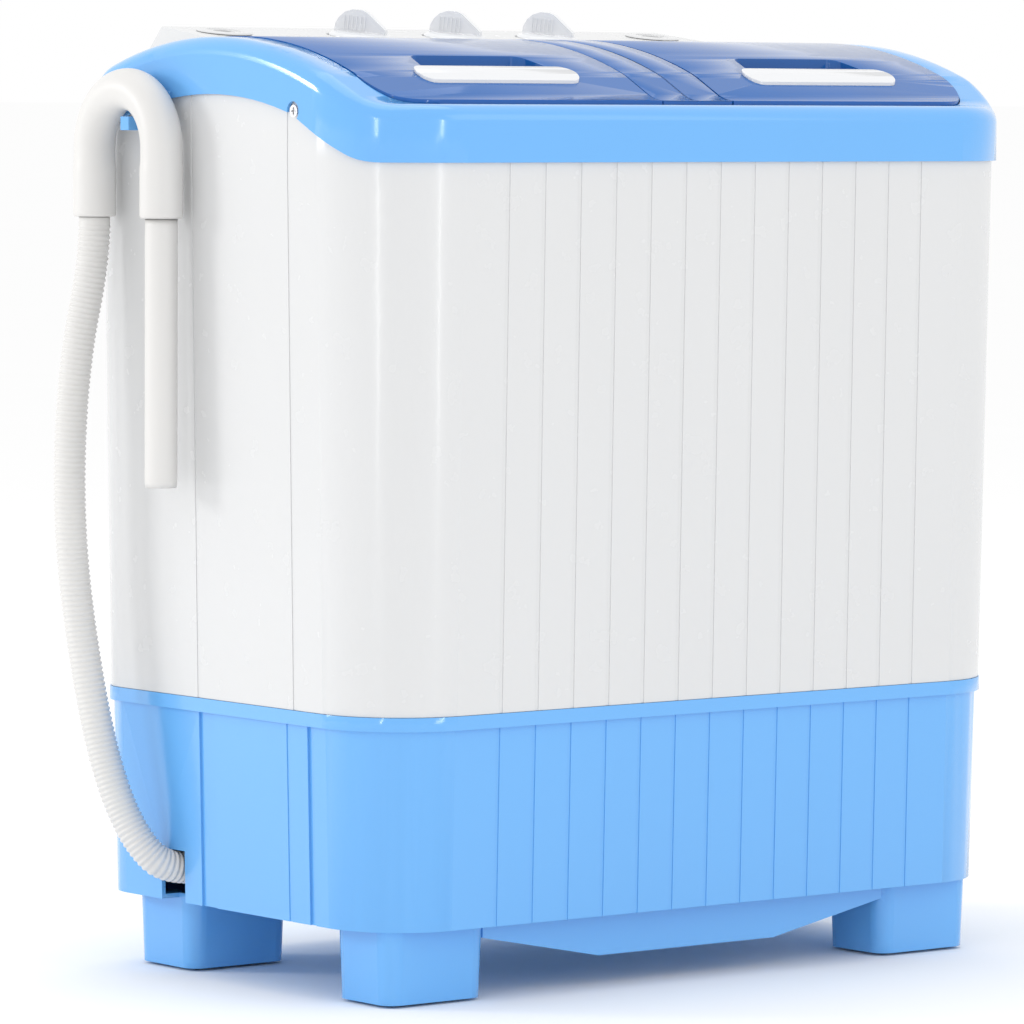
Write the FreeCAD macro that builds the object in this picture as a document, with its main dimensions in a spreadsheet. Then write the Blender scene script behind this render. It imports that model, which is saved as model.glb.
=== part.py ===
import FreeCAD, Part
import math
import os
import Sketcher

# Twin-tub washing machine: a wash tub with a pulsator beside a spin basket, in one cabinet.
# Frame: X to the right seen from the front, Y to the back, Z up. The origin is on the floor,
# under the middle of the machine. All sizes are millimetres.

os.makedirs("parts", exist_ok=True)
Vector = FreeCAD.Vector
doc = FreeCAD.newDocument("twin_tub_washer")
sheet = doc.addObject("Spreadsheet::Sheet", "dims")

SIZES = (
    ("total_width", 590.0), ("total_depth", 350.0),
    ("front_radius", 74.0), ("rear_radius", 40.0),
    ("skirt_bottom", 52.0), ("rim_bottom", 187.0), ("rim_top", 196.5),
    ("band_bottom", 565.5), ("band_top", 604.3),
    ("wall", 2.8), ("body_wall", 2.5), ("floor_wall", 3.2),
    ("shoulder", 12.0),
    ("groove_pitch", 30.7), ("groove_depth", 0.5), ("groove_width", 3.0),
    ("leg_foot", 2.0), ("leg_inner", 177.0), ("leg_outer", 263.0),
    ("lid_outer", 264.0), ("lid_inner", 32.0), ("lid_front", -148.0), ("lid_rear", 80.5),
    ("lid_corner", 40.0), ("lid_gap", 0.8),
    ("lid_sheet", 3.2), ("lid_seat", 4.0), ("hinge_y", 76.0), ("hinge_z", 639.6),
    ("panel_front", 84.5), ("panel_rear", 171.8), ("panel_low", 646.6), ("panel_high", 657.5),
    ("panel_half", 222.0), ("panel_sheet", 3.0), ("knob_spacing", 85.4), ("knob_y", 124.4),
    ("wash_x", -149.0), ("wash_y", -45.0), ("wash_half_x", 101.0), ("wash_half_y", 95.0),
    ("tub_top", 584.5), ("tub_floor", 282.0), ("tub_sheet", 3.0),
    ("spin_x", 152.0), ("spin_y", -42.0), ("spin_tub_radius", 102.0), ("spin_floor", 262.0),
    ("basket_radius", 94.0), ("basket_bottom", 276.0), ("basket_top", 548.0),
    ("pulley_z", 204.0), ("big_pulley", 62.0), ("small_pulley", 16.0),
    ("motor_x", -40.0), ("motor_y", 65.0), ("wash_motor_radius", 52.0),
    ("spin_motor_radius", 60.0), ("drum_radius", 55.0),
    ("valve_x", 0.0), ("valve_y", 124.4), ("valve_radius", 22.0),
    ("hose_diameter", 22.5), ("tail_diameter", 22.5), ("elbow_diameter", 29.2),
    ("elbow_x", -311.2), ("elbow_front", 49.4), ("elbow_rear", 129.5), ("elbow_turn_z", 573.0),
)
for row, (alias, number) in enumerate(SIZES, start=1):
    sheet.set(f"A{row}", str(number))
    sheet.setAlias(f"A{row}", alias)
doc.recompute()


class Dim:
    """A length that carries its number and the sheet expression that gives it."""

    def __init__(self, number, text=None):
        self.number = float(number)
        self.text = text or f"({self.number!r})"

    def _with(self, other, sign, number):
        return Dim(number, f"({self.text} {sign} {other.text})")

    def __add__(self, other):
        other = as_dim(other)
        return self._with(other, "+", self.number + other.number)

    def __sub__(self, other):
        other = as_dim(other)
        return self._with(other, "-", self.number - other.number)

    def __mul__(self, other):
        other = as_dim(other)
        return self._with(other, "*", self.number * other.number)

    def __truediv__(self, other):
        other = as_dim(other)
        return self._with(other, "/", self.number / other.number)

    def __radd__(self, other):
        return as_dim(other) + self

    def __rsub__(self, other):
        return as_dim(other) - self

    def __rmul__(self, other):
        return as_dim(other) * self

    def __neg__(self):
        return as_dim(0) - self


def as_dim(value):
    return value if isinstance(value, Dim) else Dim(value)


D = {alias: Dim(sheet.get(alias), f"dims.{alias}") for alias, number in SIZES}
nodes = {}


def node(name, item):
    """Names a finished sub-part, which becomes one exported file."""
    item.Label = name
    nodes[name] = item
    return item


# ---------------------------------------------------------------- shape helpers

AXES = {"x": Vector(1, 0, 0), "y": Vector(0, 1, 0), "z": Vector(0, 0, 1)}
FAR = 900.0


def place(item, position, rotation=None):
    point = [as_dim(value) for value in position]
    item.Placement = FreeCAD.Placement(
        Vector(*(value.number for value in point)), rotation or FreeCAD.Rotation())
    for letter, value in zip("xyz", point):
        item.setExpression(f"Placement.Base.{letter}", value.text)
    return item


def block(x, y, z):
    """A box between the low and high bounds on each axis."""
    item = doc.addObject("Part::Box", "block")
    for prop, (low, high) in (("Length", x), ("Width", y), ("Height", z)):
        item.setExpression(prop, (as_dim(high) - low).text)
    return place(item, (x[0], y[0], z[0]))


def rod(position, radius, length, axis="z", turn=None):
    """A cylinder that starts at a point and runs along an axis or a direction."""
    item = doc.addObject("Part::Cylinder", "rod")
    item.setExpression("Radius", as_dim(radius).text)
    item.setExpression("Height", as_dim(length).text)
    direction = AXES[axis] if turn is None else turn
    return place(item, position, FreeCAD.Rotation(AXES["z"], direction))


def taper(position, low_radius, high_radius, length, axis="z"):
    item = doc.addObject("Part::Cone", "taper")
    item.setExpression("Radius1", as_dim(low_radius).text)
    item.setExpression("Radius2", as_dim(high_radius).text)
    item.setExpression("Height", as_dim(length).text)
    return place(item, position, FreeCAD.Rotation(AXES["z"], AXES[axis]))


def fuse(*items):
    if len(items) == 1:
        return items[0]
    item = doc.addObject("Part::MultiFuse", "joined")
    item.Shapes = list(items)
    return item


def cut(base, *tools):
    item = doc.addObject("Part::Cut", "cut")
    item.Base = base
    item.Tool = fuse(*tools)
    return item


def common(first, *others):
    for other in others:
        item = doc.addObject("Part::Common", "shared")
        item.Base = first
        item.Tool = other
        first = item
    return first


def group(*items):
    item = doc.addObject("Part::Compound", "group")
    item.Links = list(items)
    return item


def ring(position, outer, inner, length, axis="z"):
    return cut(rod(position, outer, length, axis), rod(position, inner, length, axis))


def softened(base, radius, chosen):
    """Fillets the edges of a shape that the chooser accepts."""
    doc.recompute()
    item = doc.addObject("Part::Fillet", "softened")
    item.Base = base
    item.Edges = [(index, radius, radius)
                  for index, edge in enumerate(base.Shape.Edges, start=1) if chosen(edge)]
    return item


def circle_points(count, radius, centre, start=0.0):
    """Places evenly spaced around a centre, as (x, y, angle in degrees)."""
    for index in range(count):
        angle = start + 360.0 * index / count
        cosine, sine = math.cos(math.radians(angle)), math.sin(math.radians(angle))
        yield as_dim(centre[0]) + radius * cosine, as_dim(centre[1]) + radius * sine, angle


def spin_copy(item, centre, angle):
    """Turns an item, built around the origin, about a vertical axis and moves it to a centre."""
    turn = FreeCAD.Rotation(AXES["z"], angle)
    base = turn.multVec(item.Placement.Base)
    return place(item, (as_dim(centre[0]) + base.x, as_dim(centre[1]) + base.y, base.z),
                 turn * item.Placement.Rotation)


# ---------------------------------------------------------------- sketches and bodies

def origin_plane(body, role):
    return next(f for f in body.Origin.OriginFeatures if f.Role == role)


def body_sketch(body, role):
    sketch = body.newObject("Sketcher::SketchObject", "profile")
    sketch.AttachmentSupport = (origin_plane(body, role), [""])
    sketch.MapMode = "FlatFace"
    return sketch


def closed_polyline(sketch, points):
    """Draws a closed polyline whose corners are all driven by the sheet."""
    corners = [(as_dim(a), as_dim(b)) for a, b in points]
    for index, (a, b) in enumerate(corners):
        c, d = corners[(index + 1) % len(corners)]
        sketch.addGeometry(Part.LineSegment(Vector(a.number, b.number, 0),
                                            Vector(c.number, d.number, 0)), False)
    for index in range(len(corners)):
        sketch.addConstraint(Sketcher.Constraint(
            "Coincident", index, 2, (index + 1) % len(corners), 1))
    for index, (a, b) in enumerate(corners):
        for kind, value in (("DistanceX", a), ("DistanceY", b)):
            place_id = sketch.addConstraint(
                Sketcher.Constraint(kind, -1, 1, index, 1, value.number))
            sketch.setExpression(f"Constraints[{place_id}]", value.text)


def turned(position, profile):
    """A body turned about its own vertical axis from (radius, height) corners."""
    body = doc.addObject("PartDesign::Body", "turned")
    sketch = body_sketch(body, "XZ_Plane")
    closed_polyline(sketch, profile)
    spin = body.newObject("PartDesign::Revolution", "spin")
    spin.Profile = sketch
    spin.ReferenceAxis = (sketch, ["V_Axis"])
    spin.Angle = 360.0
    return place(body, position)


def plate(role, points, start, length, backwards=False):
    """A body padded from a polygon on one of its own origin planes."""
    body = doc.addObject("PartDesign::Body", "plate")
    sketch = body_sketch(body, role)
    closed_polyline(sketch, points)
    pad = body.newObject("PartDesign::Pad", "pad")
    pad.Profile = sketch
    pad.Reversed = backwards
    pad.setExpression("Length", as_dim(length).text)
    return place(body, start)


def outline(section, height):
    """A rounded rectangle lying at a height: half width, front, rear, two corner radii."""
    half, front, rear, front_r, rear_r = (as_dim(value) for value in section)
    sketch = doc.addObject("Sketcher::SketchObject", "outline")
    h, f, r, a, b = half.number, front.number, rear.number, front_r.number, rear_r.number
    runs = (((-h + a, f), (h - a, f)), ((h, f + a), (h, r - b)),
            ((h - b, r), (-h + b, r)), ((-h, r - b), (-h, f + a)))
    turns = ((h - a, f + a, a, 270), (h - b, r - b, b, 0),
             (-h + b, r - b, b, 90), (-h + a, f + a, a, 180))
    for (start, end), (cx, cy, radius, angle) in zip(runs, turns):
        sketch.addGeometry(Part.LineSegment(Vector(*start, 0), Vector(*end, 0)), False)
        circle = Part.Circle(Vector(cx, cy, 0), AXES["z"], radius)
        first = math.radians(angle)
        sketch.addGeometry(Part.ArcOfCircle(circle, first, first + math.pi / 2), False)
    for index in range(8):
        sketch.addConstraint(Sketcher.Constraint("Tangent", index, 2, (index + 1) % 8, 1))
    for index in (0, 4):
        sketch.addConstraint(Sketcher.Constraint("Horizontal", index))
        sketch.addConstraint(Sketcher.Constraint("Vertical", index + 2))
    drives = (
        (Sketcher.Constraint("Radius", 1, a), front_r), (Sketcher.Constraint("Radius", 3, b), rear_r),
        (Sketcher.Constraint("Radius", 5, b), rear_r), (Sketcher.Constraint("Radius", 7, a), front_r),
        (Sketcher.Constraint("DistanceX", -1, 1, 1, 3, h - a), half - front_r),
        (Sketcher.Constraint("DistanceY", -1, 1, 1, 3, f + a), front + front_r),
        (Sketcher.Constraint("DistanceX", -1, 1, 5, 3, -h + b), rear_r - half),
        (Sketcher.Constraint("DistanceY", -1, 1, 5, 3, r - b), rear - rear_r),
    )
    for constraint, value in drives:
        place_id = sketch.addConstraint(constraint)
        sketch.setExpression(f"Constraints[{place_id}]", value.text)
    return place(sketch, (0, 0, height))


def upright(section, low, high):
    """A rounded prism between two heights."""
    item = doc.addObject("Part::Extrusion", "upright")
    item.Base = outline(section, low)
    item.DirMode = "Custom"
    item.Dir = AXES["z"]
    item.Solid = True
    item.setExpression("LengthFwd", (as_dim(high) - low).text)
    return item


def drafted(low_section, low, high_section, high):
    """A rounded block whose outline changes evenly between two heights."""
    item = doc.addObject("Part::Loft", "drafted")
    item.Sections = [outline(low_section, low), outline(high_section, high)]
    item.Solid = True
    item.Ruled = True
    return item


def inset(side, front, rear, extra=0.0):
    """The machine's outline, pulled in by an amount at the sides, the front and the rear."""
    side, front, rear = (as_dim(value) + extra for value in (side, front, rear))
    return (D["total_width"] / 2 - side, front - D["total_depth"] / 2,
            D["total_depth"] / 2 - rear, D["front_radius"] - side, D["rear_radius"] - rear)


# ---------------------------------------------------------------- the wave of the top

def rounded_path(points, radii):
    """Edges of a polyline whose inner corners are tangent arcs."""
    edges = []
    last = points[0]
    for corner, before, after, radius in zip(points[1:-1], points[:-2], points[2:], radii):
        back = (before - corner).normalize()
        ahead = (after - corner).normalize()
        turn = math.pi - back.getAngle(ahead)
        reach = radius * math.tan(turn / 2)
        middle = (back + ahead).normalize()
        depth = radius / math.cos(turn / 2) - radius
        start, end = corner + back * reach, corner + ahead * reach
        edges.append(Part.LineSegment(last, start).toShape())
        edges.append(Part.Arc(start, corner + middle * depth, end).toShape())
        last = end
    edges.append(Part.LineSegment(last, points[-1]).toShape())
    return edges


WAVE_REACH = 190.0
TOP_WAVE = ((-WAVE_REACH, 0.0), (-141.0, 0.0), (-106.8, 19.7), (41.2, 75.0), (WAVE_REACH, 5.75))
LID_WAVE = ((-WAVE_REACH, 3.0), (-139.5, 3.0), (-106.8, 20.3), (41.2, 75.6), (WAVE_REACH, 6.35))
TOP_RADII = (38.0, 57.0, 362.0)
LOW_WAVE = ((-WAVE_REACH, 0.0), (-139.7, 0.0), (-77.9, 31.3), (45.1, 64.6), (WAVE_REACH, -1.8))
LOW_RADII = (48.0, 52.0, 334.0)
HALF_SPAN = 320.0


def wave_edges(corners, radii, height):
    points = [Vector(0, y, height + z) for y, z in corners]
    return rounded_path(points, radii)


def wave_slab(upper, lower):
    """A solid across the whole width, between two wave edges, each a chain of edges."""
    first, last = upper[0].firstVertex().Point, upper[-1].lastVertex().Point
    low_first, low_last = lower[0].firstVertex().Point, lower[-1].lastVertex().Point
    sides = [Part.LineSegment(low_first, first).toShape(), Part.LineSegment(low_last, last).toShape()]
    face = Part.Face(Part.Wire(Part.__sortEdges__(upper + lower + sides)))
    item = doc.addObject("Part::Feature", "wave_slab")
    face.translate(Vector(-HALF_SPAN, 0, 0))
    item.Shape = face.extrude(Vector(2 * HALF_SPAN, 0, 0))
    return item


def top_slab(low, high):
    """The layer between two depths measured up from the wave surface of the top."""
    height = D["band_top"].number
    return wave_slab(wave_edges(TOP_WAVE, TOP_RADII, height + high),
                     wave_edges(TOP_WAVE, TOP_RADII, height + low))


def under(edges):
    """Everything below a wave edge, down to well under the top."""
    floor = 100.0
    ends = edges[0].firstVertex().Point, edges[-1].lastVertex().Point
    low = [Part.LineSegment(Vector(0, ends[0].y, floor), Vector(0, ends[1].y, floor)).toShape()]
    return wave_slab(edges, low)


def under_top(shift):
    return under(wave_edges(TOP_WAVE, TOP_RADII, D["band_top"].number + shift))


def under_band(shift):
    return under(wave_edges(LOW_WAVE, LOW_RADII, D["band_bottom"].number + shift))


def lid_slab(low, high):
    """The layer between two depths measured up from the surface of the closed lids."""
    height = D["band_top"].number
    return wave_slab(wave_edges(LID_WAVE, TOP_RADII, height + high),
                     wave_edges(LID_WAVE, TOP_RADII, height + low))


# ---------------------------------------------------------------- base, feet and cabinet

BODY_LOW = (9.7, 9.0, 3.3)
BODY_HIGH = (3.3, 3.3, 3.3)
RIM = (9.0, 8.3, 1.5)
SKIRT_HIGH = (12.1, 11.5, 4.5)
SKIRT_LOW = (15.3, 14.3, 5.0)
GROOVES = range(-6, 7)
SIDE_SEAMS = ((-71.4, -68.4), (39.1, 42.1))
EDGE_TUCK = 12.0


def body_block(extra):
    low = drafted(inset(*BODY_LOW, extra), D["rim_top"] + 0.2, inset(*BODY_HIGH, extra), D["band_bottom"])
    return fuse(low, upright(inset(*BODY_HIGH, extra), D["band_bottom"], D["band_bottom"] + 80))


def front_grooves(low, high):
    half = D["groove_width"] / 2
    return [block((D["groove_pitch"] * place_id - half, D["groove_pitch"] * place_id + half),
                  (-200, -100), (low, high)) for place_id in GROOVES]


def side_grooves(spans, low, high):
    return [block((-HALF_SPAN, HALF_SPAN), span, (low, high)) for span in spans]


def make_cabinet():
    shell = body_block(0)
    skin = cut(body_block(0), body_block(D["groove_depth"]))
    seams = common(skin, fuse(*front_grooves(150, FAR), *side_grooves(SIDE_SEAMS, 150, FAR)))
    hollow = body_block(D["body_wall"])
    low_lip = block((-HALF_SPAN, HALF_SPAN), (-200, 200), (D["rim_top"], D["rim_top"] + 0.3))
    inner = fuse(hollow, common(upright(inset(*BODY_LOW, D["body_wall"]), D["rim_top"], D["rim_top"] + 1), low_lip))
    window = block((-230, 230), (150, 200), (215, 540))
    ledge_z = D["tub_top"] - D["tub_sheet"] - 5.2
    ledge = cut(upright(inset(*BODY_HIGH, 2), ledge_z, ledge_z + 5), upright(inset(*BODY_HIGH, 9), 500, 700),
                block((-HALF_SPAN, HALF_SPAN), (75, 200), (500, 700)))
    walls = common(cut(shell, inner, seams, window), under_band(EDGE_TUCK))
    return fuse(walls, ledge)


def leg_section(half_x, half_y, extra):
    half_x, half_y, radius = as_dim(half_x) - extra, as_dim(half_y) - extra, as_dim(13.0) - extra
    return (half_x, -half_y, half_y, radius, radius)


LEGS = ((-1, -114.0, 31.5), (1, -114.0, 31.5), (-1, 114.5, 35.0), (1, 114.5, 35.0))


def at_leg(item, side, centre_y):
    """Moves a block built around the origin to one leg."""
    for sketch in [item.Base] if item.isDerivedFrom("Part::Extrusion") else item.Sections:
        height = sketch.Placement.Base.z
        middle = (D["leg_inner"] + D["leg_outer"]) / 2 * side
        place(sketch, (middle, centre_y, height))
    return item


def make_base():
    half_x = (D["leg_outer"] - D["leg_inner"]) / 2
    skirt = fuse(drafted(inset(*SKIRT_LOW), D["skirt_bottom"], inset(*SKIRT_HIGH), D["rim_bottom"]),
                 upright(inset(*RIM), D["rim_bottom"], D["rim_top"]))
    wall = 3.0
    hollow = fuse(drafted(inset(*SKIRT_LOW, wall), D["skirt_bottom"] + D["floor_wall"],
                          inset(*SKIRT_HIGH, wall), D["rim_bottom"]),
                  upright(inset(*SKIRT_HIGH, wall), D["rim_bottom"] - 0.01, D["rim_top"] + 1))
    legs, pockets = [], []
    for side, centre_y, half_y in LEGS:
        foot = leg_section(half_x, half_y, 2)
        legs.append(at_leg(drafted(foot, D["leg_foot"], leg_section(half_x, half_y, 0),
                                   D["skirt_bottom"] + 1), side, centre_y))
        pockets.append(at_leg(upright(leg_section(half_x, half_y, 5.5), D["leg_foot"] + 3,
                                      D["skirt_bottom"] + 6), side, centre_y))
    apron = plate("XZ_Plane", ((-180, D["skirt_bottom"] + 1), (-180, 42), (-79, 22), (79, 22),
                               (180, 42), (180, D["skirt_bottom"] + 1)), (0, -139, 0), 3)
    skin = cut(drafted(inset(*SKIRT_LOW), D["skirt_bottom"], inset(*SKIRT_HIGH), D["rim_bottom"]),
               drafted(inset(*SKIRT_LOW, 0.6), D["skirt_bottom"], inset(*SKIRT_HIGH, 0.6), D["rim_bottom"]))
    deep_skin = cut(drafted(inset(*SKIRT_LOW), D["skirt_bottom"], inset(*SKIRT_HIGH), D["rim_bottom"]),
                    drafted(inset(*SKIRT_LOW, 1.7), D["skirt_bottom"], inset(*SKIRT_HIGH, 1.7), D["rim_bottom"]))
    shallow = common(skin, fuse(*front_grooves(0, D["rim_bottom"]),
                                *side_grooves(((-61, -57.5),), 0, D["rim_bottom"])))
    channels = common(deep_skin, fuse(*side_grooves(((26, 44), (-88, -81)), 0, D["rim_bottom"])))
    hose_hole = block((-300, -265), (64, 92), (50, 88))
    motor_posts = [rod((x, y, D["skirt_bottom"] + 1), 6, 32)
                   for x, y, angle in circle_points(4, D["wash_motor_radius"] + 1,
                                                    (D["motor_x"], D["motor_y"]), 45)]
    spring_pads = [rod((x, y, D["skirt_bottom"] + 1), 13, 5)
                   for x, y, angle in circle_points(3, 62, (D["spin_x"], D["spin_y"]), 90)]
    solid = fuse(skirt, *legs, apron)
    return fuse(cut(solid, hollow, *pockets, shallow, channels, hose_hole), *motor_posts, *spring_pads)


def make_foot_pads():
    half_x = (D["leg_outer"] - D["leg_inner"]) / 2
    return group(*(at_leg(drafted(leg_section(half_x, half_y, 12), 0, leg_section(half_x, half_y, 11.5),
                                  D["leg_foot"]), side, y) for side, y, half_y in LEGS))


def make_back_cover():
    face = D["total_depth"] / 2 - 3.2
    sheet_block = block((-238, 238), (face, face + 1.6), (207, 548))
    slots = [block((x, x + 40), (150, 200), (z, z + 5)) for x in (-180, -130, 90, 140)
             for z in range(250, 330, 12)]
    gland_hole = rod((-200, 150, 240), 9.05, 60, "y")
    return cut(softened(sheet_block, 12.0, lambda e: abs(e.Vertexes[0].Y - e.Vertexes[-1].Y) > 1),
               *slots, gland_hole)


COVER_SCREWS = ((-233, 212), (233, 212), (-233, 378), (233, 378), (-233, 543), (233, 543))


def make_back_screws():
    face = D["total_depth"] / 2 - 3.2
    return group(*(fuse(taper((x, face + 1.6, z), 3.6, 2.6, 0.3, "y"), rod((x, face - 8, z), 1.7, 9.6, "y"))
                   for x, z in COVER_SCREWS))


def make_cord_gland():
    face = D["total_depth"] / 2 - 3.2
    body = fuse(rod((-200, face - 6, 240), 9.0, 7.9, "y"), rod((-200, face - 2.0, 240), 12.0, 2.0, "y"))
    return cut(body, rod((-200, face - 10, 240), 4.0, 30, "y"))


# ---------------------------------------------------------------- top frame, cover and lids

SCREW_Y, SCREW_Z = -79.0, 599.0


def shoulder(extra):
    """The outline of the top under its wave, with the upper edge rounded all the way round."""
    solid = common(upright(inset(0, 0, 0, extra), 540, 680), under_top(-as_dim(extra).number))
    rim_y = D["total_depth"].number / 2 - as_dim(extra).number - 0.1

    def on_rim(edge):
        first, last = edge.firstVertex().Point, edge.lastVertex().Point
        middle = edge.valueAt((edge.FirstParameter + edge.LastParameter) / 2)
        level = abs(first.x - last.x) + abs(first.y - last.y) > 0.001
        crossing = abs(first.x - last.x) > 400 and abs(middle.y) < rim_y
        return min(first.z, last.z) > 560 and level and not crossing

    return softened(solid, D["shoulder"].number - as_dim(extra).number, on_rim)


def lid_column(gap, rear):
    """An upright block over the plan of both lids and the panel behind them."""
    return upright((D["lid_outer"] + gap, D["lid_front"] - gap, D["total_depth"] / 2 - rear,
                    D["lid_corner"] + gap, 5), 500, 700)


def make_top_frame():
    notches = rod((-HALF_SPAN, SCREW_Y, SCREW_Z), 6.5, 2 * HALF_SPAN, "x")
    return cut(shoulder(0), shoulder(D["wall"]), under_band(0), lid_column(D["lid_gap"], D["wall"]), notches)


def make_frame_screws():
    screws = []
    face = D["total_width"] / 2 - BODY_HIGH[0]
    for side in (-1, 1):
        head = rod((face * side, SCREW_Y, SCREW_Z), 4.2, 2.6, turn=Vector(side, 0, 0))
        shank = rod((face * side, SCREW_Y, SCREW_Z), 1.9, 14, turn=Vector(-side, 0, 0))
        slots = [block((face * side - 1.0 + 2.2 * side, face * side + 1.0 + 2.2 * side),
                       (SCREW_Y - a, SCREW_Y + a), (SCREW_Z - b, SCREW_Z + b))
                 for a, b in ((2.6, 0.45), (0.45, 2.6))]
        screws.append(fuse(cut(head, *slots), shank))
    return group(*screws)


def wash_well(extra, low, high):
    section = (D["wash_half_x"] + extra, -D["wash_half_y"] - extra, D["wash_half_y"] + extra,
               as_dim(35) + extra, as_dim(35) + extra)
    item = upright(section, low, high)
    place(item.Base, (D["wash_x"], D["wash_y"], low))
    return item


def spin_well(extra, low, high):
    return rod((D["spin_x"], D["spin_y"], low), D["spin_tub_radius"] + extra, as_dim(high) - low)


PANEL_SLANT = 0.6745
PANEL_FOOT_Z = 575.0


def panel_block(extra):
    """The raised housing behind the lids: slanted ends and a top that climbs to the rear."""
    top = D["panel_high"] + 4
    flare = (top - PANEL_FOOT_Z) * PANEL_SLANT
    half = D["panel_half"] - extra
    ends = plate("XZ_Plane", ((-half, top), (-half - flare, PANEL_FOOT_Z), (half + flare, PANEL_FOOT_Z),
                              (half, top)), (0, 400, 0), 400)
    front, rear = D["panel_front"] + extra, D["panel_rear"] - extra
    low, high = D["panel_low"] - extra, D["panel_high"] - extra
    side = plate("YZ_Plane", ((front, PANEL_FOOT_Z), (rear, PANEL_FOOT_Z), (rear, high), (front, low)),
                 (-HALF_SPAN, 0, 0), 2 * HALF_SPAN)
    return common(ends, side, upright(inset(0, 0, 0, as_dim(3.2) + extra), 500, 700))


TILT = math.degrees(math.atan2(10.9, 87.3))
TILT_AXIS = Vector(0, -math.sin(math.radians(TILT)), math.cos(math.radians(TILT)))


def tilted_rod(x, y, rise, radius, length):
    """A rod square to the sloping panel, starting at a height above the panel's face."""
    start = Vector(as_dim(x).number, as_dim(y).number, panel_face(y)) + TILT_AXIS * rise
    return rod((as_dim(x), start.y, start.z), radius, length, turn=TILT_AXIS)


def panel_face(y):
    slope = (D["panel_high"] - D["panel_low"]).number / (D["panel_rear"] - D["panel_front"]).number
    return D["panel_low"].number + (as_dim(y).number - D["panel_front"].number) * slope


KNOBS = (-1, 0, 1)


def make_top_cover():
    column = lid_column(D["lid_gap"] - 0.3, 3.2)
    seat = -D["lid_seat"].number
    front_deck = common(top_slab(seat - 3, seat), shoulder(3.2),
                        block((-HALF_SPAN, HALF_SPAN), (-200, 69), (500, 700)))
    bosses = [common(block(sided((265.4, 280.5), side), (66, 84.2), (634, 700)), shoulder(3.2))
              for side in (-1, 1)]
    hinge_bar = common(top_slab(seat - 6, 0), block((-D["lid_inner"] + 0.4, D["lid_inner"] - 0.4),
                                                    (68.5, D["panel_front"] + 3), (500, 700)))
    rear_deck = common(top_slab(-3.2, 0), column,
                       block((-HALF_SPAN, HALF_SPAN), (D["panel_front"], 200), (500, 700)))
    tucked = upright(inset(0, 0, 0, 6.4), 500, 700)
    rear_skirt = cut(common(tucked, block((-HALF_SPAN, HALF_SPAN), (100, 200), (580, 604))),
                     upright(inset(0, 0, 0, 9.4), 500, 700))
    cabinet_edge = common(cut(upright(inset(0, 0, 0, 2.9), 500, 700), tucked), under_band(EDGE_TUCK + 0.4))
    wells = common(fuse(cut(wash_well(2.5, D["tub_top"] + 0.3, 660), wash_well(0, 500, 700)),
                        cut(spin_well(2.5, D["tub_top"] + 0.3, 660), spin_well(0, 500, 700))),
                   under_top(seat - 0.5))
    solid = fuse(front_deck, *bosses, hinge_bar, rear_deck, rear_skirt, wells, panel_block(0))
    recesses = [tilted_rod(D["knob_spacing"] * side, D["knob_y"], -1.8, 24.5, 6) for side in KNOBS]
    holes = [tilted_rod(D["knob_spacing"] * side, D["knob_y"], -20, 5.0, 40) for side in KNOBS]
    inlets = [tilted_rod(195 * side, 138, -20, 14.0, 40) for side in (-1, 1)]
    pins = [rod((start, D["hinge_y"], D["hinge_z"]), 1.55, 22, "x") for start in (-280, -44, 22, 258)]
    hinge_room = [block(sided((D["lid_inner"] - 0.4, D["lid_outer"] + 0.4), side),
                        (69, D["panel_front"]), (500, 700)) for side in (-1, 1)]
    hollow = panel_block(D["panel_sheet"])
    return cut(solid, hollow, *recesses, *holes, *inlets, *pins, *hinge_room, cabinet_edge,
               wash_well(0, 500, 700), spin_well(0, 500, 700))


def make_lid_bridge():
    edge = D["lid_inner"] - 1.2
    strip = common(lid_slab(-D["lid_sheet"].number, 0), block((-edge, edge), (D["lid_front"], 68), (500, 700)))
    foot = common(top_slab(0.3 - D["lid_seat"].number, 0.2),
                  block((-12, 12), (D["lid_front"] + 4, 64), (500, 700)))
    groove = common(lid_slab(-1.0, 4), block((-0.8, 0.8), (-200, 200), (500, 700)))
    return cut(fuse(strip, foot), groove)


def make_hinge_pins():
    return group(*(rod((start, D["hinge_y"], D["hinge_z"]), 1.5, 18, "x")
                   for start in (-276, -42, 24, 258)))


BAR_X, BAR_Y = (76.0, 213.0), (-118.5, -98.0)
CUP_FRONT_X, CUP_REAR_X, CUP_Y = (84.0, 203.0), (96.5, 191.0), (-112.0, -69.5)


def sided(span, side):
    """A span of X on the left or the right half of the machine."""
    low, high = (as_dim(value) * side for value in span)
    return (low, high) if side > 0 else (high, low)


def lid_outline(side, shrink):
    """Plan of a lid, with its outer front corner rounded."""
    section = (D["lid_outer"] - shrink, D["lid_front"] + shrink, D["lid_rear"] - shrink, D["lid_corner"], 1.0)
    return common(upright(section, 560, 700),
                  block(sided((D["lid_inner"], D["lid_outer"]), side), (-200, 200), (500, 700)))


def cup_block(side, grow):
    """An upright block over the plan of a lid's finger cup, narrower at the rear."""
    (front_low, front_high), (rear_low, rear_high) = CUP_FRONT_X, CUP_REAR_X
    corners = ((front_low - grow, CUP_Y[0] - grow), (front_high + grow, CUP_Y[0] - grow),
               (rear_high + grow, CUP_Y[1] + grow), (rear_low - grow, CUP_Y[1] + grow))
    plan = plate("XY_Plane", [(x * side, y) for x, y in corners], (0, 0, 500), 200)
    return softened(plan, 9.0 + grow, lambda edge: abs(edge.Vertexes[0].Z - edge.Vertexes[-1].Z) > 1)


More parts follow.
